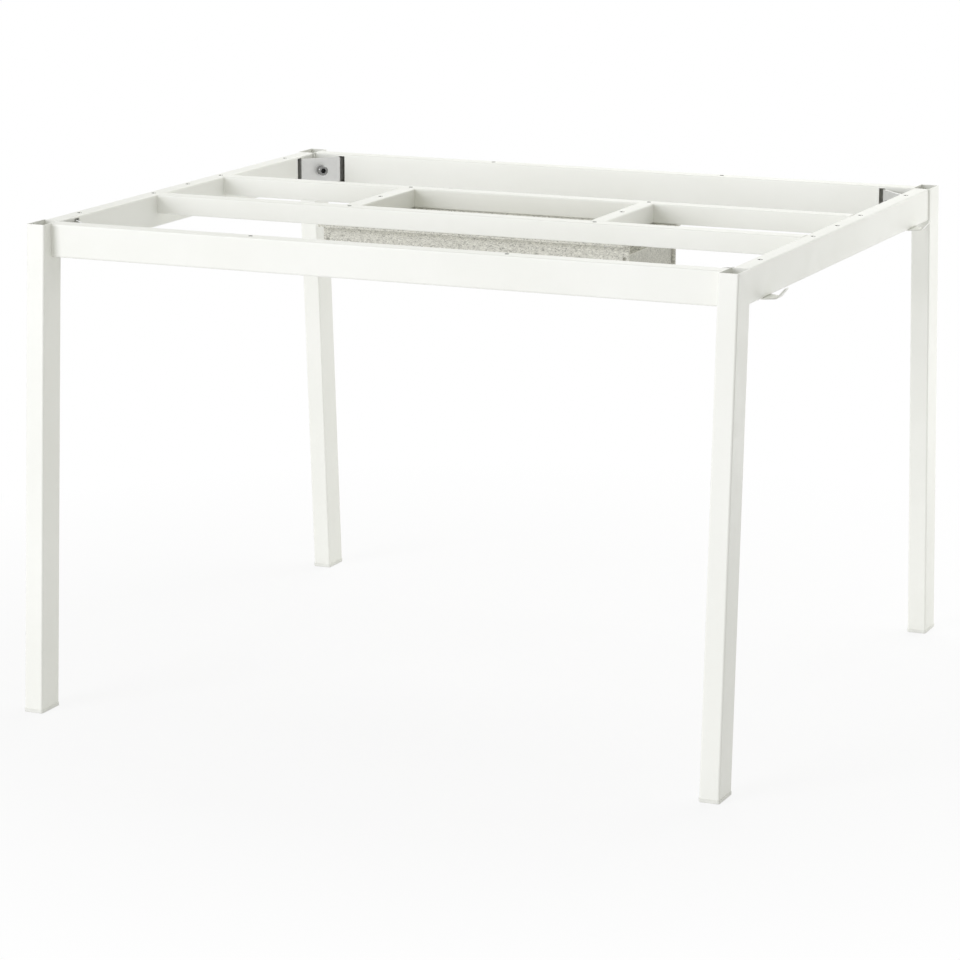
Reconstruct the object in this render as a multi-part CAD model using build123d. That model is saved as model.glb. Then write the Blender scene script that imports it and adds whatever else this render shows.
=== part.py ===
from build123d import *
from math import atan, cos, sqrt
import os

# A steel table frame: four leaning legs, four rails, two inner rails with a felt cable tray
# between them, and hooks for bags under the side rails.
# X runs along the long rails, Y from front to back and Z up. The origin is on the floor under
# the middle of the frame, and every size is in millimetres.

# Overall sizes
FRAME_LENGTH = 1104.0  # over the legs, along X
FRAME_WIDTH = 930.0  # over the tops of the legs, along Y
FRAME_HEIGHT = 730.0
LEG_LEAN = 45.0  # how far a foot stands out past the top of its leg, along Y

# Leg tubes
LEG_TUBE_X = 30.0
LEG_TUBE_Y = 50.0
LEG_WALL = 2.0
LEG_CORNER = 3.0

# Outer rails, centred on the legs at the sides and set back from them at the front and back
RAIL_THICKNESS = 25.0
RAIL_HEIGHT = 50.0
RAIL_WALL = 2.0
RAIL_CORNER = 3.0
LONG_RAIL_SETBACK = 19.5  # from the outer face of a leg top to the face of the front or back rail

# Inner rails and the cross bars between them
INNER_THICKNESS = 25.0
INNER_HEIGHT = 30.0
INNER_WALL = 2.0
INNER_CORNER = 2.5
INNER_RAIL_Y = 110.0
CROSS_BAR_X = 200.0

# Holes for the screws of a table top, with a wider hole below each for the screwdriver
TOP_HOLE = 7.0
DRIVER_HOLE = 14.0
END_HOLE_Y = 337.0

# Tongues that carry the inner rails and the cross bars inside the tubes they meet
TONGUE_WIDTH = 16.0
TONGUE_THICKNESS = 4.0
TONGUE_HOLD = 42.0  # length inside the tube that it is welded to
TONGUE_END = 9.0  # length past the middle of the tube that carries it
TONGUE_FIT = 0.3

# Corner brackets of bent sheet, hooked into slots of the rails and drawn to the leg by a bolt
BRACKET_SHEET = 3.0
BRACKET_HEIGHT = 40.0
BRACKET_REACH = 50.0  # from the corner of the rails to the outer face of a flange
BRACKET_FLANGE = 8.0  # how far a flange goes into its rail
BRACKET_STANDOFF = 2.0  # from a rail to the bend of the bracket
BRACKET_BEND = 3.5  # radius at the middle of the sheet
LONG_SLOT_OPEN = 7.0  # open length of a slot beside its flange, in a front or back rail
SIDE_SLOT_OPEN = 11.0  # the same in a side rail
SLOT_ABOVE_FLANGE = 1.5
SLOT_FIT = 0.2

# Corner bolts, washers and the threaded blocks inside the legs
BOLT_DIAMETER = 10.0
BOLT_LENGTH = 55.0
BOLT_HEAD_DIAMETER = 16.0
BOLT_HEAD_HEIGHT = 10.0
BOLT_SOCKET = 8.0  # across the flats
BOLT_SOCKET_DEPTH = 5.0
BOLT_HEAD_CHAMFER = 0.8
BOLT_CLEARANCE = 0.5
THREAD_CLEARANCE = 0.1
WASHER_DIAMETER = 21.0
WASHER_THICKNESS = 2.0
NUT_BLOCK_SIDE = 19.0
NUT_BLOCK_HEIGHT = 24.0

# Feet of the legs
FOOT_HEIGHT = 5.5
FOOT_LIP = 0.8  # how far a foot stands proud of its leg
FOOT_ROUND = 1.5
FOOT_PLUG = 22.0
FOOT_PLUG_WALL = 2.5
FOOT_FIT = 0.2

# Felt cable tray: a folded trough with two end panels
TRAY_LENGTH = 500.0
TRAY_DEPTH = 70.0  # from the inner rails down to the underside of the trough
FELT = 4.0
FELT_BEND = 5.0  # radius at the middle of the felt
TRAY_FLANGE = 20.0
TRAY_END_INSET = 5.5  # from the end of the trough to the face of an end panel
TRAY_END_DROP = 21.0  # from the inner rails down to the top of an end panel
TRAY_SLIT_DROP = 22.0  # from the inner rails down to the top of a slit
TRAY_SLIT_LENGTH = 33.0
TRAY_TAB_DROP = 7.0  # from the top of a slit down to the top of a tab
TRAY_FIT = 0.2
TRAY_SCREW_STEP = 220.0
TRAY_SCREW = 4.0
TRAY_SCREW_LENGTH = 12.0
TRAY_SCREW_HEAD = 11.0
TRAY_SCREW_HEAD_HEIGHT = 1.5

# Bag hooks of bent sheet, screwed under the side rails
HOOK_SHEET = 2.0
HOOK_ROOT_WIDTH = 37.0
HOOK_BEND_WIDTH = 19.0
HOOK_TIP_WIDTH = 11.0
HOOK_REACH = 15.5  # from the outer face of the rail to the bend
HOOK_LIP_OUT = 11.5  # from the bend to the tip, along X
HOOK_LIP_RISE = 13.5
HOOK_BEND = 4.0  # radius at the middle of the sheet
HOOK_TAIL = 9.0  # from the middle of the rail inwards
HOOK_CORNER = 4.0
HOOK_SCREW_STEP = 26.0
HOOK_SCREW = 4.0
HOOK_SCREW_LENGTH = 10.0
HOOK_SCREW_HEAD = 8.0
HOOK_SCREW_HEAD_HEIGHT = 2.5
SCREW_CLEARANCE = 0.2

CUT_MARGIN = 1.0  # how far a cutting shape runs past what it cuts
LEAST_CORNER = 0.3

# Places worked out from the sizes above
LEAN_ANGLE = atan(LEG_LEAN / FRAME_HEIGHT)
LEG_DEPTH = LEG_TUBE_Y / cos(LEAN_ANGLE)  # of the leaning tube, measured level
LEG_X = (FRAME_LENGTH - LEG_TUBE_X) / 2
LEG_INNER_X = LEG_X - LEG_TUBE_X / 2
SIDE_INNER_X = LEG_X - RAIL_THICKNESS / 2
SIDE_OUTER_X = LEG_X + RAIL_THICKNESS / 2
LONG_RAIL_Y = FRAME_WIDTH / 2 - LONG_RAIL_SETBACK - RAIL_THICKNESS / 2
LONG_INNER_Y = LONG_RAIL_Y - RAIL_THICKNESS / 2
RAIL_Z = FRAME_HEIGHT - RAIL_HEIGHT / 2
RAIL_BOTTOM = FRAME_HEIGHT - RAIL_HEIGHT
INNER_Z = FRAME_HEIGHT - INNER_HEIGHT / 2
INNER_BOTTOM = FRAME_HEIGHT - INNER_HEIGHT
INNER_FACE_Y = INNER_RAIL_Y - INNER_THICKNESS / 2
TONGUE_TOP = FRAME_HEIGHT - max(RAIL_WALL, INNER_WALL)
TONGUE_Z = TONGUE_TOP - TONGUE_THICKNESS / 2
TONGUE_SLOT = TONGUE_WIDTH + 2 * TONGUE_FIT
TRAY_BOTTOM = INNER_BOTTOM - TRAY_DEPTH
TRAY_END_TOP = INNER_BOTTOM - TRAY_END_DROP
TRAY_SLIT_TOP = INNER_BOTTOM - TRAY_SLIT_DROP
TRAY_SLIT_BOTTOM = TRAY_SLIT_TOP - TRAY_SLIT_LENGTH
TRAY_TAB_TOP = TRAY_SLIT_TOP - TRAY_TAB_DROP
TRAY_OUTER_Y = INNER_FACE_Y
TRAY_SCREW_Y = TRAY_OUTER_Y + TRAY_FLANGE / 2
BRACKET_MIDDLE = (BRACKET_REACH - BRACKET_SHEET / 2 + BRACKET_STANDOFF) / sqrt(2)  # from the rails' corner

SIDES = {"left": -1, "right": 1}
DEPTHS = {"front": -1, "back": 1}
CORNERS = {f"{depth}_{side}": (SIDES[side], DEPTHS[depth]) for depth in DEPTHS for side in SIDES}


def leg_y(z):
    """Distance of a leg's middle from the middle of the frame, at height z."""
    return (FRAME_WIDTH - LEG_DEPTH) / 2 + LEG_LEAN * (FRAME_HEIGHT - z) / FRAME_HEIGHT


def tube_section(width, height, wall, corner):
    """The hollow section of a rectangular tube with rounded corners."""
    outside = RectangleRounded(width, height, corner)
    inside = RectangleRounded(width - 2 * wall, height - 2 * wall, max(corner - wall, LEAST_CORNER))
    return outside - inside


def bar_along_x(section, length, y, z):
    """A bar with the given section, lying along X."""
    return extrude(Plane((0, y, z), x_dir=(0, 1, 0), z_dir=(1, 0, 0)) * section, length / 2, both=True)


def bar_along_y(section, length, x, z):
    """A bar with the given section, lying along Y."""
    return extrude(Plane((x, 0, z), x_dir=(1, 0, 0), z_dir=(0, 1, 0)) * section, length / 2, both=True)


def upright_cylinder(diameter, x, y, bottom, top):
    """A standing cylinder between two heights."""
    return Pos(x, y, (bottom + top) / 2) * Cylinder(diameter / 2, top - bottom)


def level_slab(bottom, top):
    """A block larger than the frame between two heights."""
    span = 2 * (FRAME_LENGTH + FRAME_WIDTH + LEG_LEAN)
    return Pos(0, 0, (bottom + top) / 2) * Box(span, span, top - bottom)


def screw_hole(x, y, bottom, wall):
    """The hole for a table-top screw in the top wall of a tube, and the driver hole below it."""
    hole = upright_cylinder(TOP_HOLE, x, y, FRAME_HEIGHT - wall - CUT_MARGIN, FRAME_HEIGHT + CUT_MARGIN)
    return hole + upright_cylinder(DRIVER_HOLE, x, y, bottom - CUT_MARGIN, bottom + wall + CUT_MARGIN)


def leg_plane(sx, sy, z):
    """The plane square to a leg's lean, where the middle of the leg passes height z."""
    return Plane((sx * LEG_X, sy * leg_y(z), z), x_dir=(1, 0, 0), z_dir=(0, -sy * LEG_LEAN, FRAME_HEIGHT))


def leg_bar(section, sx, sy, bottom, top):
    """A bar along the lean of a leg, cut level at both ends."""
    bar = extrude(leg_plane(sx, sy, (bottom + top) / 2) * section, top - bottom, both=True)
    return bar & level_slab(bottom, top)


def bolt_plane(sx, sy):
    """The plane at the corner of two rails, looking along the corner bolt into the frame."""
    return Plane((sx * SIDE_INNER_X, sy * LONG_INNER_Y, RAIL_Z), x_dir=(0, 0, 1), z_dir=(-sx, -sy, 0))


def along_bolt(diameter, start, end, sx, sy):
    """A cylinder on a corner bolt's line, between two distances from the corner of the rails."""
    return extrude(bolt_plane(sx, sy).offset(start) * Circle(diameter / 2), end - start)


def bolt_hole(sx, sy):
    """The clearance hole of a corner bolt, from inside the leg to the head of the bolt."""
    return along_bolt(BOLT_DIAMETER + 2 * BOLT_CLEARANCE, -NUT_BLOCK_SIDE / sqrt(2), BOLT_LENGTH, sx, sy)


def leg(sx, sy):
    """A leg tube, open at the top, with a hole for the corner bolt in its inner corner."""
    section = tube_section(LEG_TUBE_X, LEG_TUBE_Y, LEG_WALL, LEG_CORNER)
    return leg_bar(section, sx, sy, FOOT_HEIGHT, FRAME_HEIGHT) - bolt_hole(sx, sy)


def nut_block(sx, sy):
    """The threaded block welded into the inner corner of a leg."""
    corner_x = -sx * (LEG_TUBE_X / 2 - LEG_WALL)
    corner_y = -sy * (LEG_TUBE_Y / 2 - LEG_WALL)
    relief = max(LEG_CORNER - LEG_WALL, LEAST_CORNER)
    steps = [(relief, 0), (NUT_BLOCK_SIDE, 0), (0, NUT_BLOCK_SIDE), (0, relief)]
    section = Polygon([(corner_x + sx * a, corner_y + sy * b) for a, b in steps], align=None)
    block = leg_bar(section, sx, sy, RAIL_Z - NUT_BLOCK_HEIGHT / 2, RAIL_Z + NUT_BLOCK_HEIGHT / 2)
    return block - along_bolt(BOLT_DIAMETER + 2 * THREAD_CLEARANCE, -BOLT_LENGTH, BOLT_LENGTH, sx, sy)


def foot(sx, sy):
    """A foot with a rounded sole under the end of a leg and a hollow plug inside it."""
    outline = RectangleRounded(LEG_TUBE_X + 2 * FOOT_LIP, LEG_DEPTH + 2 * FOOT_LIP, LEG_CORNER + FOOT_LIP)
    sole = extrude(Pos(sx * LEG_X, sy * leg_y(FOOT_HEIGHT), 0) * outline, FOOT_HEIGHT)
    sole = fillet(sole.faces().sort_by(Axis.Z)[0].edges(), FOOT_ROUND)
    inset = 2 * (LEG_WALL + FOOT_FIT)
    corner = max(LEG_CORNER - LEG_WALL, LEAST_CORNER)
    section = tube_section(LEG_TUBE_X - inset, LEG_TUBE_Y - inset, FOOT_PLUG_WALL, corner)
    return sole + leg_bar(section, sx, sy, FOOT_HEIGHT, FOOT_HEIGHT + FOOT_PLUG)


def slot_span(open_length):
    """Where a bracket slot starts and ends, measured from the corner of the rails."""
    return BRACKET_REACH - BRACKET_SHEET - SLOT_FIT, BRACKET_REACH + open_length


def slot_height():
    """Height of a bracket slot."""
    return BRACKET_HEIGHT + 2 * SLOT_ABOVE_FLANGE


def long_rail(sy):
    """The front or back rail between two legs, with bracket slots and top holes."""
    section = tube_section(RAIL_THICKNESS, RAIL_HEIGHT, RAIL_WALL, RAIL_CORNER)
    rail = bar_along_x(section, 2 * LEG_INNER_X, sy * LONG_RAIL_Y, RAIL_Z)
    start, end = slot_span(LONG_SLOT_OPEN)
    for sx in SIDES.values():
        slot = Box(end - start, RAIL_WALL + 2 * CUT_MARGIN, slot_height())
        place = Pos(sx * (SIDE_INNER_X - (start + end) / 2), sy * (LONG_INNER_Y + RAIL_WALL / 2), RAIL_Z)
        rail -= place * slot
        rail -= bolt_hole(sx, sy)
        rail -= screw_hole(sx * CROSS_BAR_X, sy * LONG_RAIL_Y, RAIL_BOTTOM, RAIL_WALL)
    return rail


def between_legs():
    """A block with the lean of the legs' inner faces, which cuts the ends of the side rails."""
    top = FRAME_HEIGHT + CUT_MARGIN
    bottom = RAIL_BOTTOM - CUT_MARGIN
    top_y = leg_y(top) - LEG_DEPTH / 2
    bottom_y = leg_y(bottom) - LEG_DEPTH / 2
    outline = Polygon((-top_y, top), (top_y, top), (bottom_y, bottom), (-bottom_y, bottom), align=None)
    return extrude(Plane.YZ * outline, FRAME_LENGTH, both=True)


def side_rail(sx):
    """The left or right rail, with bracket slots, top holes, tongue slots and hook screw holes."""
    section = tube_section(RAIL_THICKNESS, RAIL_HEIGHT, RAIL_WALL, RAIL_CORNER)
    rail = bar_along_y(section, FRAME_WIDTH, sx * LEG_X, RAIL_Z) & between_legs()
    start, end = slot_span(SIDE_SLOT_OPEN)
    wall_x = sx * (SIDE_INNER_X + RAIL_WALL / 2)
    wall_cut = RAIL_WALL + 2 * CUT_MARGIN
    for sy in DEPTHS.values():
        slot = Box(wall_cut, end - start, slot_height())
        rail -= Pos(wall_x, sy * (LONG_INNER_Y - (start + end) / 2), RAIL_Z) * slot
        rail -= bolt_hole(sx, sy)
        rail -= Pos(wall_x, sy * INNER_RAIL_Y, TONGUE_Z) * tongue_slot(wall_cut, TONGUE_SLOT)
        for step in (-1, 1):
            y = sy * END_HOLE_Y + step * HOOK_SCREW_STEP / 2
            rail -= hook_screw_hole(sx * LEG_X, y, RAIL_BOTTOM, RAIL_WALL)
    for y in (-END_HOLE_Y, -INNER_RAIL_Y, 0, INNER_RAIL_Y, END_HOLE_Y):
        rail -= screw_hole(sx * LEG_X, y, RAIL_BOTTOM, RAIL_WALL)
    return rail


def tongue_slot(length_x, length_y):
    """The opening in a tube's wall for a tongue, with room below it."""
    return Pos(0, 0, -TONGUE_FIT / 2) * Box(length_x, length_y, TONGUE_THICKNESS + TONGUE_FIT)


def hook_screw_hole(x, y, bottom, thickness):
    """A hole for a hook screw, through a wall or sheet of the given thickness."""
    diameter = HOOK_SCREW + 2 * SCREW_CLEARANCE
    return upright_cylinder(diameter, x, y, bottom - CUT_MARGIN, bottom + thickness + CUT_MARGIN)


def tray_screw_places():
    """The X and Y of each screw that holds the tray under an inner rail."""
    return [(step * TRAY_SCREW_STEP, sy * TRAY_SCREW_Y) for step in (-1, 0, 1) for sy in DEPTHS.values()]


def tray_screw_hole(x, y, bottom, thickness):
    """A hole for a tray screw, through a wall or felt of the given thickness."""
    diameter = TRAY_SCREW + 2 * SCREW_CLEARANCE
    return upright_cylinder(diameter, x, y, bottom - CUT_MARGIN, bottom + thickness + CUT_MARGIN)


def inner_rail(sy):
    """The front or back inner rail, between the side rails."""
    section = tube_section(INNER_THICKNESS, INNER_HEIGHT, INNER_WALL, INNER_CORNER)
    rail = bar_along_x(section, 2 * SIDE_INNER_X, sy * INNER_RAIL_Y, INNER_Z)
    wall_y = sy * (INNER_FACE_Y + INNER_WALL / 2)
    wall_cut = INNER_WALL + 2 * CUT_MARGIN
    for sx in SIDES.values():
        rail -= screw_hole(sx * CROSS_BAR_X, sy * INNER_RAIL_Y, INNER_BOTTOM, INNER_WALL)
        rail -= Pos(sx * CROSS_BAR_X, wall_y, TONGUE_Z) * tongue_slot(TONGUE_SLOT, wall_cut)
    for x, y in tray_screw_places():
        if y * sy > 0:
            rail -= tray_screw_hole(x, y, INNER_BOTTOM, INNER_WALL)
    return rail


def cross_bar(sx):
    """The left or right cross bar, between the inner rails."""
    section = tube_section(INNER_THICKNESS, INNER_HEIGHT, INNER_WALL, INNER_CORNER)
    bar = bar_along_y(section, 2 * INNER_FACE_Y, sx * CROSS_BAR_X, INNER_Z)
    return bar - screw_hole(sx * CROSS_BAR_X, 0, INNER_BOTTOM, INNER_WALL)


def inner_rail_tongue(sx, sy):
    """The tongue from the end of an inner rail into a side rail."""
    inner_end = SIDE_INNER_X - TONGUE_HOLD
    outer_end = LEG_X + TONGUE_END
    bar = Box(outer_end - inner_end, TONGUE_WIDTH, TONGUE_THICKNESS)
    y = sy * INNER_RAIL_Y
    tongue = Pos(sx * (inner_end + outer_end) / 2, y, TONGUE_Z) * bar
    return tongue - upright_cylinder(TOP_HOLE, sx * LEG_X, y, RAIL_BOTTOM, FRAME_HEIGHT)


def cross_bar_tongue(sx, sy):
    """The tongue from the end of a cross bar into an inner rail."""
    inner_end = INNER_FACE_Y - TONGUE_HOLD
    outer_end = INNER_RAIL_Y + TONGUE_END
    bar = Box(TONGUE_WIDTH, outer_end - inner_end, TONGUE_THICKNESS)
    x = sx * CROSS_BAR_X
    tongue = Pos(x, sy * (inner_end + outer_end) / 2, TONGUE_Z) * bar
    return tongue - upright_cylinder(TOP_HOLE, x, sy * INNER_RAIL_Y, INNER_BOTTOM, FRAME_HEIGHT)


def corner_bracket(sx, sy):
    """A sheet bent across the corner of two rails, with a flange hooked into each of them."""
    plane = Plane((sx * SIDE_INNER_X, sy * LONG_INNER_Y, RAIL_Z), x_dir=(0, -sy, 0), z_dir=(0, 0, -sx * sy))
    reach = BRACKET_REACH - BRACKET_SHEET / 2
    points = [(reach, -BRACKET_FLANGE), (reach, BRACKET_STANDOFF)]
    points += [(BRACKET_STANDOFF, reach), (-BRACKET_FLANGE, reach)]
    section = trace(FilletPolyline(points, radius=BRACKET_BEND), line_width=BRACKET_SHEET)
    sheet = extrude(plane * section, BRACKET_HEIGHT / 2, both=True)
    return sheet - bolt_hole(sx, sy)


def corner_washer(sx, sy):
    """The washer between a corner bracket and the head of its bolt."""
    seat = BRACKET_MIDDLE + BRACKET_SHEET / 2
    return along_bolt(WASHER_DIAMETER, seat, seat + WASHER_THICKNESS, sx, sy) - bolt_hole(sx, sy)


def corner_bolt(sx, sy):
    """A socket head bolt from the corner bracket into the leg."""
    seat = BRACKET_MIDDLE + BRACKET_SHEET / 2 + WASHER_THICKNESS
    top = seat + BOLT_HEAD_HEIGHT
    head = along_bolt(BOLT_HEAD_DIAMETER, seat, top, sx, sy)
    far_face = head.faces().sort_by(bolt_plane(sx, sy).location.z_axis)[-1]
    head = chamfer(far_face.edges(), BOLT_HEAD_CHAMFER)
    hexagon = RegularPolygon(BOLT_SOCKET / 2, 6, major_radius=False)
    socket_plane = bolt_plane(sx, sy).offset(top - BOLT_SOCKET_DEPTH)
    head -= extrude(socket_plane * hexagon, BOLT_SOCKET_DEPTH + CUT_MARGIN)
    return head + along_bolt(BOLT_DIAMETER, seat - BOLT_LENGTH, seat, sx, sy)


def tray_trough():
    """The folded felt trough: two flanges under the inner rails, two walls and a floor."""
    wall_y = TRAY_OUTER_Y - FELT / 2
    flange_y = TRAY_OUTER_Y + TRAY_FLANGE
    flange_z = INNER_BOTTOM - FELT / 2
    floor_z = TRAY_BOTTOM + FELT / 2
    half = [(wall_y, floor_z), (wall_y, flange_z), (flange_y, flange_z)]
    points = [(-y, z) for y, z in reversed(half)] + half
    section = trace(FilletPolyline(points, radius=FELT_BEND), line_width=FELT)
    trough = extrude(Plane.YZ * section, TRAY_LENGTH / 2, both=True)
    slit_z = (TRAY_SLIT_TOP + TRAY_SLIT_BOTTOM) / 2
    for sx in SIDES.values():
        slit = Box(FELT + 2 * TRAY_FIT, 2 * (TRAY_OUTER_Y + CUT_MARGIN), TRAY_SLIT_LENGTH)
        trough -= Pos(sx * tray_end_x(), 0, slit_z) * slit
    for x, y in tray_screw_places():
        trough -= tray_screw_hole(x, y, INNER_BOTTOM - FELT, FELT)
    return trough


def tray_end_x():
    """Distance of the middle of an end panel from the middle of the tray."""
    return TRAY_LENGTH / 2 - TRAY_END_INSET - FELT / 2


def tray_end(sx):
    """A felt end panel that stands on the floor of the trough, with a tab in each slit."""
    floor_z = TRAY_BOTTOM + FELT
    half_width = TRAY_OUTER_Y - FELT - TRAY_FIT
    plane = Plane((sx * tray_end_x(), 0, 0), x_dir=(0, 1, 0), z_dir=(1, 0, 0))
    panel = Pos(0, (floor_z + TRAY_END_TOP) / 2) * Rectangle(2 * half_width, TRAY_END_TOP - floor_z)
    panel = fillet(panel.vertices().group_by(Axis.Y)[0], FELT_BEND)
    tab_bottom = TRAY_SLIT_BOTTOM + TRAY_FIT
    tabs = Pos(0, (tab_bottom + TRAY_TAB_TOP) / 2) * Rectangle(2 * TRAY_OUTER_Y, TRAY_TAB_TOP - tab_bottom)
    return extrude(plane * (panel + tabs), FELT / 2, both=True)


def pan_screw(x, y, seat, head, head_height, shank, length):
    """A screw driven upwards, with its head below the height of its seat."""
    cap = upright_cylinder(head, x, y, seat - head_height, seat)
    cap = chamfer(cap.edges().sort_by(Axis.Z)[0], head_height / 2)
    return cap + upright_cylinder(shank, x, y, seat, seat + length)


def tray_screws():
    """The screws that hold the tray's flanges under the inner rails."""
    sizes = (TRAY_SCREW_HEAD, TRAY_SCREW_HEAD_HEIGHT, TRAY_SCREW, TRAY_SCREW_LENGTH)
    return Compound([pan_screw(x, y, INNER_BOTTOM - FELT, *sizes) for x, y in tray_screw_places()])


def bag_hook(sx, sy):
    """A hook that tapers out from under a side rail and turns up at its tip."""
    sheet_z = RAIL_BOTTOM - HOOK_SHEET / 2
    bend_x = SIDE_OUTER_X + HOOK_REACH
    tip_x = bend_x + HOOK_LIP_OUT
    tail_x = LEG_X - HOOK_TAIL
    path = FilletPolyline(
        (sx * tail_x, sheet_z),
        (sx * bend_x, sheet_z),
        (sx * tip_x, sheet_z + HOOK_LIP_RISE),
        radius=HOOK_BEND,
    )
    place_y = sy * END_HOLE_Y
    plane = Plane((0, place_y, 0), x_dir=(1, 0, 0), z_dir=(0, -1, 0))
    strip = extrude(plane * trace(path, line_width=HOOK_SHEET), HOOK_ROOT_WIDTH, both=True)
    end_x = tip_x + HOOK_SHEET
    half = [(tail_x, HOOK_ROOT_WIDTH / 2), (SIDE_OUTER_X, HOOK_ROOT_WIDTH / 2)]
    half += [(bend_x, HOOK_BEND_WIDTH / 2), (end_x, HOOK_TIP_WIDTH / 2)]
    outline = half + [(x, -y) for x, y in reversed(half)]
    blank = Polygon([(sx * x, place_y + y) for x, y in outline], align=None)
    corners = blank.vertices().sort_by(lambda corner: abs(corner.X))
    blank = fillet(corners[:2] + corners[-2:], HOOK_CORNER)
    hook = strip & extrude(Pos(0, 0, RAIL_BOTTOM) * blank, RAIL_HEIGHT, both=True)
    for step in (-1, 1):
        y = place_y + step * HOOK_SCREW_STEP / 2
        hook -= hook_screw_hole(sx * LEG_X, y, RAIL_BOTTOM - HOOK_SHEET, HOOK_SHEET)
    return hook - upright_cylinder(DRIVER_HOLE, sx * LEG_X, place_y, RAIL_BOTTOM - RAIL_HEIGHT, RAIL_BOTTOM)


def hook_screws():
    """The screws that hold the bag hooks, two to a hook."""
    sizes = (HOOK_SCREW_HEAD, HOOK_SCREW_HEAD_HEIGHT, HOOK_SCREW, HOOK_SCREW_LENGTH)
    screws = []
    for sx, sy in CORNERS.values():
        for step in (-1, 1):
            y = sy * END_HOLE_Y + step * HOOK_SCREW_STEP / 2
            screws.append(pan_screw(sx * LEG_X, y, RAIL_BOTTOM - HOOK_SHEET, *sizes))
    return Compound(screws)


def all_nodes():
    """Every piece of the frame by the name of its node."""
    nodes = {}
    for corner, (sx, sy) in CORNERS.items():
        nodes[f"leg_{corner}"] = leg(sx, sy)
        nodes[f"foot_{corner}"] = foot(sx, sy)
        nodes[f"leg_nut_{corner}"] = nut_block(sx, sy)
        nodes[f"corner_bracket_{corner}"] = corner_bracket(sx, sy)
        nodes[f"corner_washer_{corner}"] = corner_washer(sx, sy)
        nodes[f"corner_bolt_{corner}"] = corner_bolt(sx, sy)
        nodes[f"inner_rail_tongue_{corner}"] = inner_rail_tongue(sx, sy)
        nodes[f"cross_bar_tongue_{corner}"] = cross_bar_tongue(sx, sy)
        nodes[f"bag_hook_{corner}"] = bag_hook(sx, sy)
    for depth, sy in DEPTHS.items():
        nodes[f"{depth}_rail"] = long_rail(sy)
        nodes[f"{depth}_inner_rail"] = inner_rail(sy)
    for side, sx in SIDES.items():
        nodes[f"{side}_rail"] = side_rail(sx)
        nodes[f"{side}_cross_bar"] = cross_bar(sx)
        nodes[f"tray_end_{side}"] = tray_end(sx)
    nodes["tray_trough"] = tray_trough()
    nodes["tray_screws"] = tray_screws()
    nodes["hook_screws"] = hook_screws()
    return nodes


os.makedirs("parts", exist_ok=True)
for name, shape in all_nodes().items():
    export_step(shape, f"parts/{name}.step")
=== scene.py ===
"""Finishes and soft pieces of a steel table frame with a felt cable tray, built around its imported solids."""

import math

import bmesh
import bpy
from bpy.props import FloatProperty, FloatVectorProperty, IntProperty, PointerProperty
from bpy.types import Operator, Panel, PropertyGroup
from mathutils import Matrix, Vector, noise


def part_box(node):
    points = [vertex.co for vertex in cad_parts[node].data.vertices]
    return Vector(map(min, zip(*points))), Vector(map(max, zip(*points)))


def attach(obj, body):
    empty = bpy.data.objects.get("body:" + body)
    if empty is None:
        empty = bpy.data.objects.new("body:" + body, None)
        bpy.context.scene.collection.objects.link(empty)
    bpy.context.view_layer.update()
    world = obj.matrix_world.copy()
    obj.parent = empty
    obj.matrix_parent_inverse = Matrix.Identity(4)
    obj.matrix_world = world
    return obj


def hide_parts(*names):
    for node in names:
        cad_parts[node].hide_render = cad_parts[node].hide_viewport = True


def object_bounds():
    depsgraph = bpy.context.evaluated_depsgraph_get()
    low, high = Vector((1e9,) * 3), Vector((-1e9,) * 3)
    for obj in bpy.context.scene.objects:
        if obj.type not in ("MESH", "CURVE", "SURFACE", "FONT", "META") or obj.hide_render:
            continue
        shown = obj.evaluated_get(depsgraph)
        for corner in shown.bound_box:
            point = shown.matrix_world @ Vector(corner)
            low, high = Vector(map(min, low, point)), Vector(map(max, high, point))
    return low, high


bl_info = {
    "name": "Table Frame",
    "version": (1, 0, 0),
    "blender": (4, 5, 0),
    "location": "View3D > Sidebar > Table Frame",
    "description": "Finishes, fasteners and felt tray of a steel table frame",
    "category": "Object",
}

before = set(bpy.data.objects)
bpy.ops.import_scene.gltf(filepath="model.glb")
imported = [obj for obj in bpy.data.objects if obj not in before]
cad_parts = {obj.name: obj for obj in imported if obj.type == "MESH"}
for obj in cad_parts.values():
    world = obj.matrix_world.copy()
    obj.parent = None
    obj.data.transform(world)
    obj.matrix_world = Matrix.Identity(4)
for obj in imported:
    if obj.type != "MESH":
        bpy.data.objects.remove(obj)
CAD_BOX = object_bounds()
BODY = "root"

CORNERS = [f"{depth}_{side}" for depth in ("front", "back") for side in ("left", "right")]
LEGS = [f"leg_{corner}" for corner in CORNERS]
BARS_ALONG_X = ["front_rail", "back_rail", "front_inner_rail", "back_inner_rail"]
BARS_ALONG_Y = ["left_rail", "right_rail", "left_cross_bar", "right_cross_bar"]
TONGUES = [f"{bar}_tongue_{corner}" for bar in ("inner_rail", "cross_bar") for corner in CORNERS]
SHEET_HARDWARE = [f"{piece}_{corner}" for piece in ("corner_bracket", "corner_washer") for corner in CORNERS]
MM = 0.001
WHITE = (1.0, 1.0, 1.0, 1.0)

# The middle part of the range of noise, where most of it lies, and a part that gives harder patches
WIDE_BAND = (0.3, 0.7)
NARROW_BAND = (0.35, 0.65)


def middle(name):
    """The middle of a node's box."""
    low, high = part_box(name)
    return (low + high) / 2


def extent(name):
    """The size of a node's box."""
    low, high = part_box(name)
    return high - low


# Sizes and colours that a user would change

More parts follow.
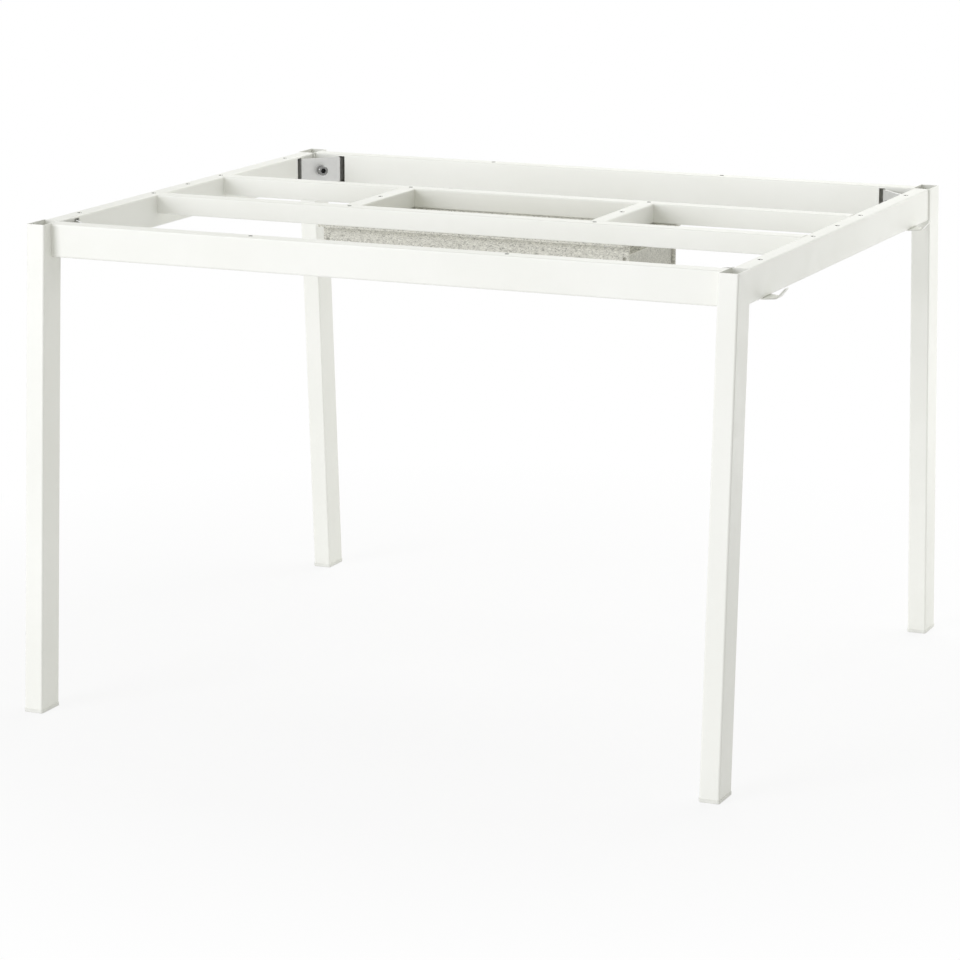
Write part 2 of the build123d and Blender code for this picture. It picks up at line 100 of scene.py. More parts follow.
class CoatFinish(PropertyGroup):
    """Powder coat on the steel tubes and hooks."""

    white: FloatVectorProperty(
        name="Coat", description="Colour of the powder coat", subtype="COLOR",
        default=(0.880, 0.885, 0.835))
    shade: FloatVectorProperty(
        name="Thin coat", description="Colour where the coat is thinnest", subtype="COLOR",
        default=(0.855, 0.860, 0.805))
    bare_steel: FloatVectorProperty(
        name="Bare steel", description="Colour of the uncoated inside of the tubes", subtype="COLOR",
        default=(0.830, 0.828, 0.760))
    # Near-black painted shade on the walls of drilled holes, standing in for the shadow inside them
    hole_shade: FloatVectorProperty(
        name="Hole shade", description="Colour of the edges of drilled holes", subtype="COLOR",
        default=(0.060, 0.060, 0.052))
    drilled: FloatProperty(
        name="Drilled reach", description="How far the edge of a drilled hole is from a tube's axis at most",
        default=9 * MM, unit="LENGTH")
    peel: FloatProperty(
        name="Peel size", description="Width of the ripples in the coat",
        default=1.1 * MM, unit="LENGTH")
    overspray: FloatProperty(
        name="Overspray", description="How far coat dust reaches into the open top of a leg",
        default=90 * MM, unit="LENGTH")


class ZincFinish(PropertyGroup):
    """Bare plated steel of the corner hardware and screws."""

    plate: FloatVectorProperty(
        name="Plate", description="Colour of the plated sheet", subtype="COLOR",
        default=(0.690, 0.692, 0.680))
    cloud: FloatVectorProperty(
        name="Cloud", description="Colour of the duller patches", subtype="COLOR",
        default=(0.650, 0.652, 0.640))
    # Near-black painted shade in the sockets and cross recesses of bolts and screws
    socket: FloatVectorProperty(
        name="Socket", description="Colour of the shade-painted recesses of bolts and screws", subtype="COLOR",
        default=(0.030, 0.030, 0.030))
    screw: FloatVectorProperty(
        name="Screw", description="Colour of the bolts and screws", subtype="COLOR",
        default=(0.260, 0.260, 0.255))


class FootFinish(PropertyGroup):
    """Moulded plastic of the feet."""

    plastic: FloatVectorProperty(
        name="Plastic", description="Colour of the feet", subtype="COLOR", default=(0.810, 0.815, 0.765))
    grain: FloatProperty(
        name="Grain", description="Width of the grain of the mould", default=0.45 * MM, unit="LENGTH")


class FeltTray(PropertyGroup):
    """Felt of the cable tray, and how the blank is cut and folded."""

    pale: FloatVectorProperty(
        name="Pale fibres", description="Colour of the palest fibres", subtype="COLOR",
        default=(0.910, 0.900, 0.820))
    grey: FloatVectorProperty(
        name="Grey fibres", description="Colour of most of the felt", subtype="COLOR",
        default=(0.742, 0.735, 0.658))
    dark: FloatVectorProperty(
        name="Dark fibres", description="Colour of the dark fibres", subtype="COLOR",
        default=(0.230, 0.228, 0.205))
    # Painted shade: the end panels are a dimmer copy of the felt, standing in for the shade under the rails
    # and cross bars
    painted_end_shade: FloatProperty(
        name="End shade", description="Brightness of the end panels beside the trough", default=0.87)
    fibre: FloatProperty(
        name="Fibre", description="Width of the tufts of fibre", default=1.7 * MM, unit="LENGTH")
    fold: FloatProperty(
        name="Fold radius", description="Radius of a fold at the middle of the felt",
        default=5 * MM, unit="LENGTH")
    slit_drop: FloatProperty(
        name="Slit drop", description="From the top of the tray to the top of a slit",
        default=22 * MM, unit="LENGTH")
    slit_length: FloatProperty(
        name="Slit length", description="Length of the slits for the tabs",
        default=33 * MM, unit="LENGTH")
    tab_drop: FloatProperty(
        name="Tab drop", description="From the top of a slit to the top of its tab",
        default=7 * MM, unit="LENGTH")
    fit: FloatProperty(
        name="Fit", description="Play between a tab and its slit", default=0.2 * MM, unit="LENGTH")
    cell: FloatProperty(
        name="Cell", description="Width of the cells that the felt is divided into",
        default=3 * MM, unit="LENGTH")
    edge_round: FloatProperty(
        name="Edge round", description="How far the cut edges are rounded",
        default=1.1 * MM, unit="LENGTH")
    bow: FloatProperty(
        name="Bow", description="How far the felt strays from flat", default=0.9 * MM, unit="LENGTH")
    nap: FloatProperty(
        name="Nap", description="Depth of the unevenness of the felt's face",
        default=0.22 * MM, unit="LENGTH")


class Fasteners(PropertyGroup):
    """Corner bolts, tray screws and hook screws."""

    bolt: FloatProperty(
        name="Bolt", description="Diameter of a corner bolt", default=10 * MM, unit="LENGTH")
    bolt_length: FloatProperty(
        name="Bolt length", description="Length under the head", default=55 * MM, unit="LENGTH")
    bolt_thread: FloatProperty(
        name="Thread length", description="Threaded length", default=32 * MM, unit="LENGTH")
    bolt_pitch: FloatProperty(
        name="Thread pitch", description="Step of the thread", default=1.5 * MM, unit="LENGTH")
    bolt_head: FloatProperty(
        name="Head", description="Diameter of the bolt's head", default=16 * MM, unit="LENGTH")
    bolt_head_height: FloatProperty(
        name="Head height", description="Height of the bolt's head", default=10 * MM, unit="LENGTH")
    bolt_socket: FloatProperty(
        name="Socket", description="Width of the hexagon socket across its flats",
        default=8 * MM, unit="LENGTH")
    bolt_socket_depth: FloatProperty(
        name="Socket depth", description="Depth of the hexagon socket", default=5 * MM, unit="LENGTH")
    knurls: IntProperty(name="Knurls", description="Number of grooves round the bolt's head", default=48)
    screw: FloatProperty(
        name="Screw", description="Diameter of the small screws", default=4 * MM, unit="LENGTH")
    tray_head: FloatProperty(
        name="Tray head", description="Head of a tray screw", default=11 * MM, unit="LENGTH")
    tray_head_height: FloatProperty(
        name="Tray head height", description="Height of that head", default=1.5 * MM, unit="LENGTH")
    hook_head: FloatProperty(
        name="Hook head", description="Head of a hook screw", default=8 * MM, unit="LENGTH")
    hook_head_height: FloatProperty(
        name="Hook head height", description="Height of that head", default=2.5 * MM, unit="LENGTH")
    hook_step: FloatProperty(
        name="Hook screw step", description="From one screw of a hook to the other",
        default=26 * MM, unit="LENGTH")


class Studio(PropertyGroup):
    """Camera, lamps and floor."""

    lens: FloatProperty(name="Lens", description="Focal length in millimetres", default=131.43)
    camera: FloatVectorProperty(
        name="Camera", description="Place of the camera", subtype="TRANSLATION",
        default=(2.1114, -4.8401, 1.5022))
    tilt: FloatProperty(
        name="Tilt", description="How far the camera looks up from straight down", subtype="ANGLE",
        default=math.radians(77.176))
    turn: FloatProperty(
        name="Turn", description="How far the camera is turned from the Y axis", subtype="ANGLE",
        default=math.radians(23.891))
    ambient: FloatProperty(name="Ambient", description="Brightness of the room", default=0.565)
    room: FloatVectorProperty(
        name="Room", description="Colour of the light from the room", subtype="COLOR",
        default=(1.0, 1.0, 0.97))
    key: FloatProperty(name="Key lamp", description="Watts of the lamp at the front left", default=402.0)
    daylight: FloatVectorProperty(
        name="Daylight", description="Colour of the light from the key lamp", subtype="COLOR",
        default=(0.94, 0.94, 1.0))
    side: FloatProperty(name="Side lamp", description="Watts of the lamp at the back right", default=5.0)
    top: FloatProperty(
        name="Top lamp", description="Watts of the lamp above the back of the frame", default=41.0)
    floor: FloatVectorProperty(
        name="Floor", description="Colour of the floor", subtype="COLOR", default=(0.860, 0.860, 0.860))
    floor_reach: FloatProperty(
        name="Floor reach", description="Half the width of the floor", default=14.0, unit="LENGTH")


# Shader nodes

def node(tree, kind, inputs=None, **settings):
    """A shader node with its settings, and with input values or links by socket."""
    made = tree.nodes.new(kind)
    for name, value in settings.items():
        setattr(made, name, value)
    for socket, value in (inputs or {}).items():
        if isinstance(value, bpy.types.NodeSocket):
            tree.links.new(value, made.inputs[socket])
        else:
            made.inputs[socket].default_value = value
    return made


def opaque(colour):
    """A colour with full alpha."""
    return (*colour, 1.0)


def dimmed(colour, share):
    """A colour at a share of its brightness."""
    return tuple(share * part for part in colour)


def new_material(name):
    """An empty node material with its output and one principled shader."""
    material = bpy.data.materials.new(name)
    material.use_nodes = True
    tree = material.node_tree
    tree.nodes.clear()
    shader = node(tree, "ShaderNodeBsdfPrincipled")
    node(tree, "ShaderNodeOutputMaterial", {"Surface": shader.outputs["BSDF"]})
    return material, tree, shader


def place_of(tree):
    """The texture coordinate node that gives places and normals in the frame's own axes."""
    return node(tree, "ShaderNodeTexCoord")


def noise_of(tree, vector, size, detail=2.0, roughness=0.5):
    """Noise whose features are about the given size in metres."""
    inputs = {"Vector": vector, "Scale": 1.0 / size, "Detail": detail, "Roughness": roughness}
    return node(tree, "ShaderNodeTexNoise", inputs).outputs["Fac"]


def spread(tree, value, low, high, to_low=0.0, to_high=1.0):
    """The value with low to high stretched to another range, and held at its ends."""
    inputs = {"Value": value, "From Min": low, "From Max": high, "To Min": to_low, "To Max": to_high}
    return node(tree, "ShaderNodeMapRange", inputs, clamp=True).outputs["Result"]


def mix_colours(tree, share, first, second):
    """First colour mixed with the second by a share from 0 to 1. Colours are sockets or values."""
    factor, colour_a, colour_b, result = 0, 6, 7, 2
    inputs = {factor: share, colour_a: first, colour_b: second}
    return node(tree, "ShaderNodeMix", inputs, data_type="RGBA").outputs[result]


def maths(tree, operation, first, second):
    """The result of one operation on two numbers or sockets."""
    return node(tree, "ShaderNodeMath", {0: first, 1: second}, operation=operation).outputs[0]


def bump(tree, shader, height, distance, strength):
    """Roughens a shader's surface with the given height."""
    made = node(tree, "ShaderNodeBump", {"Height": height, "Distance": distance, "Strength": strength})
    tree.links.new(made.outputs["Normal"], shader.inputs["Normal"])


def facing_axis(tree, place, centre, across, slope=0.0):
    """How far a face is from a tube's axis, below zero where it looks towards the axis.

    So it is well below zero on the inner faces and a little below on the edges of drilled holes.
    centre is a point of the axis, across is 1 on the two axes of the section, and slope is how far
    the axis moves along Y for each metre of height.
    """
    offset = node(tree, "ShaderNodeVectorMath", {0: place.outputs["Object"], 1: centre}, operation="SUBTRACT")
    if slope:
        height = node(tree, "ShaderNodeSeparateXYZ", {0: offset.outputs[0]}).outputs["Z"]
        lean = node(tree, "ShaderNodeVectorMath", {0: (0.0, slope, 0.0), "Scale": height}, operation="SCALE")
        inputs = {0: offset.outputs[0], 1: lean.outputs[0]}
        offset = node(tree, "ShaderNodeVectorMath", inputs, operation="SUBTRACT")
    flat = node(tree, "ShaderNodeVectorMath", {0: offset.outputs[0], 1: across}, operation="MULTIPLY")
    inputs = {0: flat.outputs[0], 1: place.outputs["Normal"]}
    return node(tree, "ShaderNodeVectorMath", inputs, operation="DOT_PRODUCT").outputs["Value"]


# Materials

def powder_coat(name, coat, axis=None, top=None):
    """Slightly rippled white coat.

    A tube is bare inside; its drilled holes' walls get painted shade. Its axis is a centre, the axes of its
    section and a slope.
    Coat dust reaches into a tube that is open at the height top.
    """
    material, tree, shader = new_material(name)
    place = place_of(tree)
    here = place.outputs["Object"]
    clouds = spread(tree, noise_of(tree, here, size=0.16, detail=3.0), *NARROW_BAND)
    colour = mix_colours(tree, clouds, opaque(coat.shade), opaque(coat.white))
    if axis:
        colour = bare_inside(tree, place, coat, colour, axis, top)
    tree.links.new(colour, shader.inputs["Base Color"])
    patches = noise_of(tree, here, size=0.02, detail=3.0)
    tree.links.new(spread(tree, patches, *WIDE_BAND, to_low=0.36, to_high=0.46), shader.inputs["Roughness"])
    bump(tree, shader, noise_of(tree, here, coat.peel, detail=1.0), distance=0.06 * MM, strength=0.35)
    return material


def bare_inside(tree, place, coat, colour, axis, top):
    """The colour of a coated tube with bare steel inside and painted shade on the walls of its drilled holes.
    """
    here = place.outputs["Object"]
    facing = facing_axis(tree, place, *axis)
    inside = maths(tree, "LESS_THAN", facing, -coat.drilled)
    share = inside
    if top:
        height = node(tree, "ShaderNodeSeparateXYZ", {0: here}).outputs["Z"]
        share = maths(tree, "MULTIPLY", inside, spread(tree, height, top, top - coat.overspray))
    patches = noise_of(tree, here, size=0.012, detail=4.0)
    clean = spread(tree, patches, *WIDE_BAND, to_low=0.6, to_high=1.0)
    grimy = dimmed(coat.bare_steel, share=0.75)
    steel = mix_colours(tree, clean, opaque(grimy), opaque(coat.bare_steel))
    colour = mix_colours(tree, share, colour, steel)
    # Painted shade: faces of drilled holes, close to the tube's axis, get the near-black hole colour
    least_reach = 0.3 * MM
    inward = maths(tree, "LESS_THAN", facing, -least_reach)
    edge = maths(tree, "MULTIPLY", inward, maths(tree, "GREATER_THAN", facing, -coat.drilled))
    return mix_colours(tree, edge, colour, opaque(coat.hole_shade))


def zinc_plate(name, zinc, colour, smoothest=0.34, roughest=0.52):
    """Plated steel with faint clouds and fine scratches, from its smoothest to its roughest patches."""
    material, tree, shader = new_material(name)
    here = place_of(tree).outputs["Object"]
    clouds = spread(tree, noise_of(tree, here, size=0.009, detail=4.0, roughness=0.6), *WIDE_BAND)
    duller = tuple(c * d / p for c, d, p in zip(colour, zinc.cloud, zinc.plate))
    tree.links.new(mix_colours(tree, clouds, opaque(duller), opaque(colour)), shader.inputs["Base Color"])
    across_scratches = (1.0, 1.0, 14.0)
    stretched = node(tree, "ShaderNodeMapping", {"Vector": here, "Scale": across_scratches}).outputs["Vector"]
    scratches = noise_of(tree, stretched, size=0.004, detail=3.0)
    tree.links.new(spread(tree, scratches, *WIDE_BAND, smoothest, roughest), shader.inputs["Roughness"])
    shader.inputs["Metallic"].default_value = 1.0
    bump(tree, shader, scratches, distance=0.03 * MM, strength=0.4)
    return material


def foot_plastic(name, foot):
    """Pale moulded plastic with a fine spark-eroded grain."""
    material, tree, shader = new_material(name)
    here = place_of(tree).outputs["Object"]
    clouds = spread(tree, noise_of(tree, here, size=0.02, detail=3.0), *WIDE_BAND)
    dusty = dimmed(foot.plastic, share=0.93)
    colour = mix_colours(tree, clouds, opaque(dusty), opaque(foot.plastic))
    tree.links.new(colour, shader.inputs["Base Color"])
    grain = noise_of(tree, here, foot.grain, detail=2.0)
    tree.links.new(spread(tree, grain, *WIDE_BAND, to_low=0.48, to_high=0.6), shader.inputs["Roughness"])
    bump(tree, shader, grain, distance=0.05 * MM, strength=0.5)
    return material


def fibres(tree, here, felt, turned, least, most):
    """Short streaks that lie in one direction, as a share from 0 to 1."""
    along_streaks = (0.3, 1.0, 1.0)
    inputs = {"Vector": here, "Rotation": turned, "Scale": along_streaks}
    streaked = node(tree, "ShaderNodeMapping", inputs).outputs["Vector"]
    return spread(tree, noise_of(tree, streaked, felt.fibre, detail=2.0), least, most)


def curled_place(tree, here):
    """The place, moved about by noise so that the fibres curl."""
    noisy = node(tree, "ShaderNodeTexNoise", {"Vector": here, "Scale": 260.0, "Detail": 1.0}).outputs["Color"]
    drift = node(tree, "ShaderNodeVectorMath", {0: noisy, "Scale": 5 * MM}, operation="SCALE").outputs[0]
    return node(tree, "ShaderNodeVectorMath", {0: here, 1: drift}, operation="ADD").outputs[0]


def heathered_felt(name, felt, shade):
    """Grey felt of pale and dark fibres that lie in all directions, dimmed by a shade, which below 1 is
    painted shade.
    """
    material, tree, shader = new_material(name)
    here = place_of(tree).outputs["Object"]
    curled = curled_place(tree, here)
    clouds = spread(tree, noise_of(tree, here, size=7 * MM, detail=4.0, roughness=0.65), *NARROW_BAND)
    darker = dimmed(felt.grey, 0.80 * shade)
    colour = mix_colours(tree, clouds, opaque(darker), opaque(dimmed(felt.grey, shade)))
    height = clouds
    layers = (
        {"tint": dimmed(felt.pale, shade), "cover": 0.62, "least": 0.54, "most": 0.64, "turn": 0.0},
        {"tint": felt.dark, "cover": 0.58, "least": 0.60, "most": 0.68, "turn": 1.0},
    )
    directions = ((0.3, 0.5, 0.4), (1.2, 0.3, 1.9), (0.7, 1.4, 2.8))
    for layer in layers:
        for direction in directions:
            turned = tuple(angle + layer["turn"] for angle in direction)
            strands = fibres(tree, curled, felt, turned, layer["least"], layer["most"])
            cover = maths(tree, "MULTIPLY", strands, layer["cover"])
            colour = mix_colours(tree, cover, colour, opaque(layer["tint"]))
            height = maths(tree, "ADD", height, strands)
    tree.links.new(colour, shader.inputs["Base Color"])
    shader.inputs["Roughness"].default_value = 0.95
    shader.inputs["Specular IOR Level"].default_value = 0.15
    shader.inputs["Sheen Weight"].default_value = 0.15
    shader.inputs["Sheen Roughness"].default_value = 0.5
    bump(tree, shader, height, distance=0.25 * MM, strength=0.6)
    return material


# Mesh helpers

def dress(name, material):
    """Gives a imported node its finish."""
    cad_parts[name].material_slots[0].material = material


def new_piece(name, mesh, material, slot, *nodes):
    """A smooth object on the frame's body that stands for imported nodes."""
    mesh.polygons.foreach_set("use_smooth", [True] * len(mesh.polygons))
    mesh.materials.append(material)
    piece = bpy.data.objects.new(name, mesh)
    bpy.context.scene.collection.objects.link(piece)
    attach(piece, BODY)
    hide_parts(*nodes)
    return piece


def mesh_from(bm, name):
    """A mesh made from a bmesh, which is freed."""
    mesh = bpy.data.meshes.new(name)
    bmesh.ops.recalc_face_normals(bm, faces=bm.faces)
    bm.to_mesh(mesh)
    bm.free()
    return mesh


def new_fastener(name, bm, finishes, replaced):
    """A turned piece with crisp edges, whose second finish is the painted shade of its recess."""
    steel, recess_shade = finishes
    mesh = mesh_from(bm, name)
    new_piece(name, mesh, steel, "zinc_plate", replaced)
    mesh.materials.append(recess_shade)
    mesh.set_sharp_from_angle(angle=math.radians(35))


# Turned fasteners: rings round an axis, whose radius is a function of the angle and the place along it

def circle(radius):
    """A round outline."""
    return lambda angle, along: radius


def hexagon(flats):
    """A six-sided outline with the given width across its flats."""
    return lambda angle, along: flats / 2 / math.cos((angle + math.pi / 6) % (math.pi / 3) - math.pi / 6)


def cross(reach, width):
    """A plus-shaped outline for a screwdriver."""
    def radius(angle, along):
        near_arm = (angle + math.pi / 4) % (math.pi / 2) - math.pi / 4
        return min(reach, width / 2 / max(abs(math.sin(near_arm)), 1e-6))
    return radius


def knurl(radius, depth, grooves):
    """A round outline with straight grooves."""
    return lambda angle, along: radius - depth * (0.5 + 0.5 * math.cos(grooves * angle))


def thread(radius, pitch, depth):
    """A screw thread: the groove moves one pitch along the axis for each turn."""
    def outline(angle, along):
        phase = (along / pitch + angle / (2 * math.pi)) % 1.0
        return radius - depth * abs(2 * phase - 1)
    return outline


def turn_piece(bm, rings, segments, matrix, recess):
    """Adds a closed piece of rings (place along the axis, outline) to a bmesh.

    The last rings, as many as recess says, are inside the recess for a driver and get the second material, its
    painted shade.
    """
    angles = [2 * math.pi * step / segments for step in range(segments)]
    loops = []
    for along, outline in rings:
        points = [(outline(a, along) * math.cos(a), outline(a, along) * math.sin(a), along) for a in angles]
        loops.append([bm.verts.new(matrix @ Vector(point)) for point in points])
    for row, (first, second) in enumerate(zip(loops, loops[1:])):
        for step in range(segments):
            after = (step + 1) % segments
            face = bm.faces.new((first[step], first[after], second[after], second[step]))
            face.material_index = int(row >= len(loops) - recess)
    for end in (0, -1):
        loop = loops[end]
        tip = bm.verts.new(matrix @ Vector((0, 0, rings[end][0])))
        for step in range(segments):
            face = bm.faces.new((loop[step], loop[(step + 1) % segments], tip))
            face.material_index = int(loop is loops[-1])


def threaded_rings(start, end, radius, pitch):
    """Rings of a thread between two places along the axis, with a pointed start."""
    depth = 0.55 * pitch
    tip = radius - 1.6 * depth
    rings_per_turn = 4
    rows = max(2, round(rings_per_turn * (end - start) / pitch))
    shape = thread(radius, pitch, depth)
    rings = [(start, circle(tip))]
    rings += [(start + (end - start) * row / rows, shape) for row in range(1, rows)]
    return rings


def bolt_rings(sizes):
    """Rings of a socket head bolt, from its tip to the bottom of its socket. 0 is under the head."""
    edge = 0.8 * MM
    knurl_depth = 0.35 * MM
    radius = sizes.bolt_head / 2
    shank = circle(sizes.bolt / 2)
    head = circle(radius)
    rim = circle(radius - edge)
    groove = knurl(radius, knurl_depth, sizes.knurls)
    socket = hexagon(sizes.bolt_socket)
    mouth, floor, drill_tip = (circle(share * sizes.bolt_socket / 2) for share in (1.25, 0.8, 0.1))
    thread_end = sizes.bolt_thread - sizes.bolt_length
    top = sizes.bolt_head_height
    bottom = top - sizes.bolt_socket_depth
    rings = threaded_rings(-sizes.bolt_length, thread_end, sizes.bolt / 2, sizes.bolt_pitch)
    rings += [(thread_end + sizes.bolt_pitch / 2, shank), (0.0, shank)]
    rings += [(0.0, rim), (edge / 2, head), (edge, head), (2 * edge, groove)]
    rings += [(top - 2.5 * edge, groove), (top - 1.5 * edge, head), (top - edge, head), (top, rim)]
    rings += [(top, mouth), (top - edge / 2, socket), (bottom, socket)]
    rings += [(bottom, floor), (bottom - edge, drill_tip)]
    return rings


def screw_rings(sizes, head_width, head_height, length):
    """Rings of a pan head screw with a cross recess, from its tip to the bottom of the recess."""
    shank = sizes.screw / 2
    pitch = 0.3 * sizes.screw
    head = head_width / 2
    underside = 0.97 * head
    lip = 0.12 * head_height
    crown = 0.42
    reach = 0.52 * head
    arm = 0.26 * head
    mouth = 1.08 * reach
    rings = threaded_rings(-length, 0.0, shank, pitch)
    rings += [(0.0, circle(shank)), (0.0, circle(underside)), (lip, circle(head))]
    for share in (0.3, 0.5, 0.7, 0.85):
        rings.append((head_height * math.sin(share * math.pi / 2), circle(head * (1 - crown * share ** 3))))
    rings.append((head_height, circle(mouth)))
    for height, longer, wider in ((0.96, 1.0, 1.0), (0.35, 0.75, 0.8), (0.2, 0.4, 0.6)):
        rings.append((head_height * height, cross(longer * reach, wider * arm)))
    return rings


# Felt pieces: a flat blank is divided, folded, thickened and roughened

def felt_thickness():
    """Thickness of the felt, which is that of an end panel."""
    return extent("tray_end_right").x


def steps_between(start, end, cell):
    """Evenly spaced places from start to end, about a cell apart."""
    count = max(1, round((end - start) / cell))
    return [start + (end - start) * step / count for step in range(count)]


def grid_lines(stops, cell):
    """Grid lines through every stop, with lines about a cell apart in between."""
    lines = []
    for start, end in zip(stops, stops[1:]):
        lines += steps_between(start, end, cell)
    return lines + [stops[-1]]


class TroughFold:
    """How the trough's blank folds.

    Its places are lengths along half the section, from the middle of the floor outwards.
    """

    def __init__(self, felt):
        low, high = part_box("tray_trough")
        thick = felt_thickness()
        self.radius = felt.fold
        self.floor_z = low.z + thick / 2
        self.flange_z = high.z - thick / 2
        self.wall_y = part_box("tray_end_right")[1].y - thick / 2
        self.edge_y = high.y
        quarter = self.radius * math.pi / 2
        self.floor_end = self.wall_y - self.radius
        self.wall_start = self.floor_end + quarter
        self.wall_end = self.wall_start + self.flange_z - self.floor_z - 2 * self.radius
        self.flange_start = self.wall_end + quarter
        self.half = self.flange_start + self.edge_y - self.wall_y - self.radius

    def at_height(self, z):
        """Place on the blank that folds to height z of a wall."""
        return self.wall_start + z - self.floor_z - self.radius

    def folded(self, place):
        """The Y and Z where a place of the blank ends up."""
        away = abs(place)
        side = math.copysign(1.0, place)
        if away <= self.floor_end:
            y, z = away, self.floor_z
        elif away <= self.wall_start:
            angle = (away - self.floor_end) / self.radius
            y = self.floor_end + self.radius * math.sin(angle)
            z = self.floor_z + self.radius * (1 - math.cos(angle))
        elif away <= self.wall_end:
            y, z = self.wall_y, self.floor_z + self.radius + away - self.wall_start
        elif away <= self.flange_start:
            angle = (away - self.wall_end) / self.radius
            y = self.wall_y + self.radius * (1 - math.cos(angle))
            z = self.flange_z - self.radius + self.radius * math.sin(angle)
        else:
            y, z = self.wall_y + self.radius + away - self.flange_start, self.flange_z
        return side * y, z


def thicken(bm, felt):
    """Gives a sheet its thickness, half to each side, and rounds its cut edges."""
    thick = felt_thickness()
    bmesh.ops.recalc_face_normals(bm, faces=bm.faces)
    bm.normal_update()
    offsets = {vert: vert.normal.copy() for vert in bm.verts}
    sheet = list(bm.faces)
    rim = [edge for edge in bm.edges if edge.is_boundary]
    upper = {vert: bm.verts.new(vert.co + offsets[vert] * thick / 2) for vert in offsets}
    for vert, offset in offsets.items():
        vert.co -= offset * thick / 2
    for face in sheet:
        bm.faces.new([upper[vert] for vert in reversed(face.verts)])
    for edge in rim:
        first, second = edge.verts
        bm.faces.new((first, second, upper[second], upper[first]))
    bmesh.ops.recalc_face_normals(bm, faces=bm.faces)
    cut_angle = math.radians(60)
    cut_edges = [edge for edge in bm.edges if edge.calc_face_angle(0.0) > cut_angle]
    bmesh.ops.bevel(
        bm, geom=cut_edges, offset=felt.edge_round, segments=3, profile=0.5, affect="EDGES",
        clamp_overlap=True)


def roughen(bm, felt):
    """Moves the felt's face in and out a little, as pressed fibres do."""
    coarse_size = 2.2 * felt.cell
    coarse_share = 0.65
    fine_share = 0.35
    finer = 2.7
    fine_start = Vector((7.0, 3.0, 5.0))
    bm.normal_update()
    moves = []
    for vert in bm.verts:
        coarse = noise.noise(vert.co / coarse_size)
        fine = noise.noise(vert.co * finer / coarse_size + fine_start)
        moves.append(vert.normal * felt.nap * (coarse_share * coarse + fine_share * fine))
    for vert, move in zip(bm.verts, moves):
        vert.co += move


def trough_blank(felt, fold):
    """The flat blank of the trough as a bmesh, with its slits cut out. Its X and Y are length and width."""
    length = extent("tray_trough").x / 2
    panel = abs(middle("tray_end_right").x)
    slit_half = felt_thickness() / 2 + felt.fit
    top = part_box("tray_trough")[1].z - felt.slit_drop
    slit_high = fold.at_height(top)
    slit_low = fold.at_height(top - felt.slit_length)
    half_along = [panel - slit_half, panel + slit_half, length]
    half_across = [fold.floor_end, fold.wall_start, slit_low, slit_high]
    half_across += [fold.wall_end, fold.flange_start, fold.half]
    along, across = (grid_lines([-stop for stop in reversed(stops)] + stops, felt.cell)
                     for stops in (half_along, half_across))
    bm = bmesh.new()
    rows = [[bm.verts.new((x, s, 0.0)) for s in across] for x in along]
    for first, second in zip(rows, rows[1:]):
        for step in range(len(across) - 1):
            corners = (first[step], second[step], second[step + 1], first[step + 1])
            centre = sum((corner.co for corner in corners), Vector()) / 4
            in_slit = abs(abs(centre.x) - panel) < slit_half and slit_low < abs(centre.y) < slit_high
            if not in_slit:
                bm.faces.new(corners)
    loose = [vert for vert in bm.verts if not vert.link_faces]
    bmesh.ops.delete(bm, geom=loose, context="VERTS")
    return bm


def fold_trough(bm, fold, bow):
    """Folds the flat blank, with the slight bow of felt that hangs between its screws and panels."""
    waves_along = 9.0
    waves_across = 14.0
    wave_start = 2.0
    floor_sag = 0.8
    floor_wave = 0.6
    wall_sag = 0.5
    reach = extent("tray_trough").x / 2
    wall_middle = (fold.wall_start + fold.wall_end) / 2
    wall_half = (fold.wall_end - fold.wall_start) / 2
    for vert in bm.verts:
        x, place, _ = vert.co
        y, z = fold.folded(place)
        slack = max(0.0, 1 - (x / reach) ** 2)
        floor_share = max(0.0, 1 - (place / fold.floor_end) ** 2)
        wall_share = max(0.0, 1 - ((abs(place) - wall_middle) / wall_half) ** 2)
        wave = noise.noise(Vector((x * waves_along, place * waves_across, wave_start)))
        z -= bow * slack * floor_share * (floor_sag + floor_wave * wave)
        y += math.copysign(bow, y) * slack * wall_share * (wall_sag + wave)
        vert.co = (x, y, z)


def end_panel_outline(felt):
    """Corner points of an end panel in Y and Z, with its tabs, up its right side and down its left one."""
    low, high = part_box("tray_end_right")
    half = high.y - felt_thickness() - felt.fit
    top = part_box("tray_trough")[1].z - felt.slit_drop
    tab_top = top - felt.tab_drop
    tab_bottom = top - felt.slit_length + felt.fit
    corner_steps = 8
    turns = [step * math.pi / (2 * corner_steps) for step in range(corner_steps + 1)]
    centre_y = half - felt.fold
    right = [(centre_y + felt.fold * math.sin(a), low.z + felt.fold * (1 - math.cos(a))) for a in turns]
    right += [(half, tab_bottom), (high.y, tab_bottom), (high.y, tab_top), (half, tab_top), (half, high.z)]
    return right + [(-y, z) for y, z in reversed(right)]


def end_panel_blank(felt, x):
    """A flat end panel as a bmesh, divided into cells."""
    bm = bmesh.new()
    low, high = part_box("tray_end_right")
    bm.faces.new([bm.verts.new((x, y, z)) for y, z in end_panel_outline(felt)])
    cuts = [((0, y, 0), (0, 1, 0)) for y in steps_between(low.y, high.y, felt.cell)[1:]]
    cuts += [((0, 0, z), (0, 0, 1)) for z in steps_between(low.z, high.z, felt.cell)[1:]]
    for point, normal in cuts:
        everything = bm.verts[:] + bm.edges[:] + bm.faces[:]
        bmesh.ops.bisect_plane(bm, geom=everything, plane_co=point, plane_no=normal, dist=0.1 * MM)
    return bm


# Operators, one for each group of like pieces

